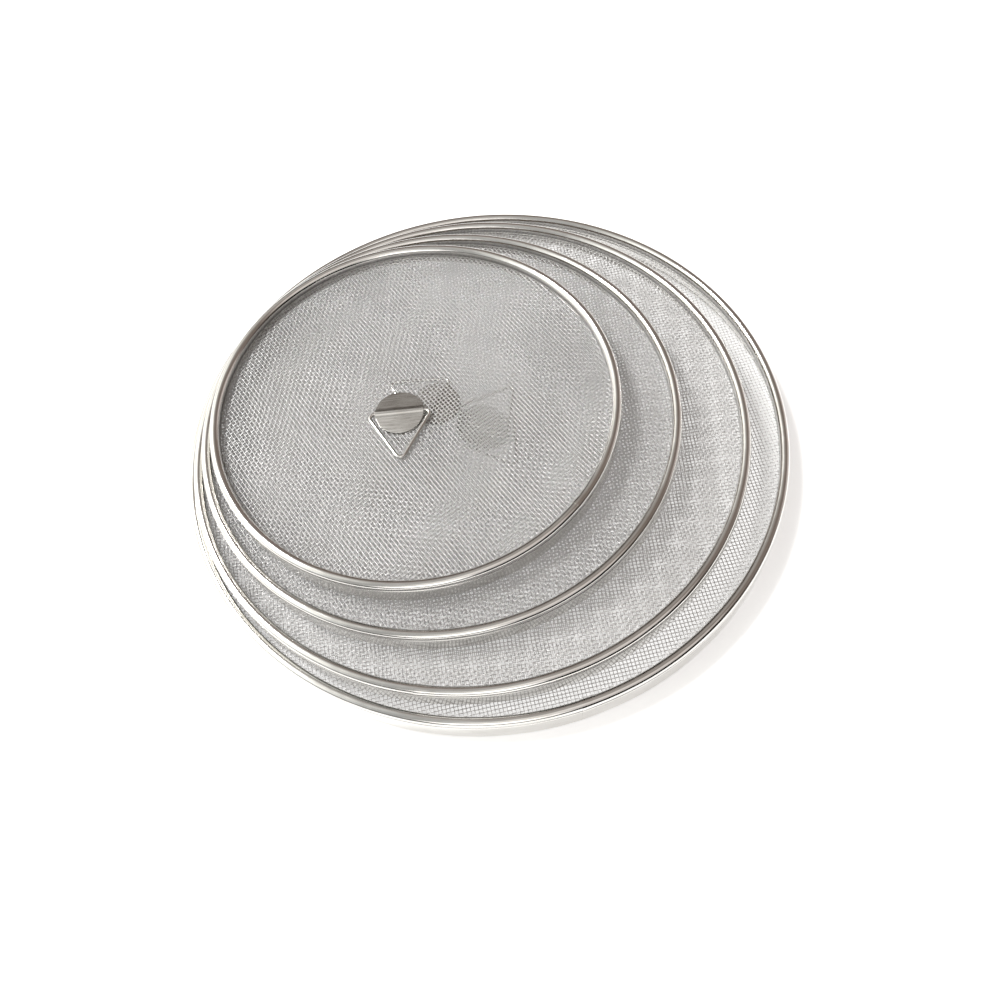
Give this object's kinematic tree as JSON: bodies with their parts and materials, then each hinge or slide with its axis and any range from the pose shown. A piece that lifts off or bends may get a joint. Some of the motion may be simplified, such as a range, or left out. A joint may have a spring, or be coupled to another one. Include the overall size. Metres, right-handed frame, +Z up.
{
  "type": "soil sieve",
  "caption": "Nested round wire-mesh sieves of falling size, each with a rolled rim, a plain skirt and a folding wire ring held under a bent disc at its centre.",
  "frame": {"origin": "centre of the largest sieve's resting plane, on the surface that the stack stands on", "axes": "+Z up, along every sieve's centre line; +X to the right and +Y to the back, as the stack is seen from the front"},
  "size_m": [0.3, 0.3, 0.0414],
  "materials": {
    "rim_steel": "polished stainless sheet",
    "core_steel": "plain drawn wire",
    "mesh_steel": "bright woven wire",
    "disc_steel": "brushed stainless sheet",
    "wire_steel": "polished stainless wire"
  },
  "bodies": {
    "sieve_300": {"rim_300": "rim_steel", "core_wire_300": "core_steel", "mesh_300": "mesh_steel", "backing_disc_300": "disc_steel", "clamp_disc_300": "disc_steel"},
    "handle_300": {"ring_300": "wire_steel"},
    "sieve_275": {"rim_275": "rim_steel", "core_wire_275": "core_steel", "mesh_275": "mesh_steel", "backing_disc_275": "disc_steel", "clamp_disc_275": "disc_steel"},
    "handle_275": {"ring_275": "wire_steel"},
    "sieve_236": {"rim_236": "rim_steel", "core_wire_236": "core_steel", "mesh_236": "mesh_steel", "backing_disc_236": "disc_steel", "clamp_disc_236": "disc_steel"},
    "handle_236": {"ring_236": "wire_steel"},
    "sieve_201": {"rim_201": "rim_steel", "core_wire_201": "core_steel", "mesh_201": "mesh_steel", "backing_disc_201": "disc_steel", "clamp_disc_201": "disc_steel"},
    "handle_201": {"ring_201": "wire_steel"}
  },
  "joints": [
    {"name": "lift_275", "type": "slide", "parent": "sieve_300", "child": "sieve_275", "axis": [0, 0, 1], "range_m": [0, 0.08]},
    {"name": "lift_236", "type": "slide", "parent": "sieve_275", "child": "sieve_236", "axis": [0, 0, 1], "range_m": [0, 0.08]},
    {"name": "lift_201", "type": "slide", "parent": "sieve_236", "child": "sieve_201", "axis": [0, 0, 1], "range_m": [0, 0.08]},
    {"name": "fold_300", "type": "hinge", "parent": "sieve_300", "child": "handle_300", "pos_m": [0.0021, 0.0046, 0.01215], "axis": [-0.9063, -0.4226, 0], "range_deg": [0, 180]},
    {"name": "fold_275", "type": "hinge", "parent": "sieve_275", "child": "handle_275", "pos_m": [-0.0009, 0.0026, 0.02045], "axis": [0.6947, -0.7193, 0], "range_deg": [0, 180]},
    {"name": "fold_236", "type": "hinge", "parent": "sieve_236", "child": "handle_236", "pos_m": [-0.0207, 0.0136, 0.02875], "axis": [0.5878, 0.809, 0], "range_deg": [0, 180]},
    {"name": "fold_201", "type": "hinge", "parent": "sieve_201", "child": "handle_201", "pos_m": [-0.0386, 0.0056, 0.03705], "axis": [-0.9976, 0.0698, 0], "range_deg": [0, 180]}
  ],
  "couplings": [
    {"joint": "fold_300", "follows": "lift_275", "rad_per_m": 39.26},
    {"joint": "fold_275", "follows": "lift_236", "rad_per_m": 39.26},
    {"joint": "fold_236", "follows": "lift_201", "rad_per_m": 39.26}
  ]
}
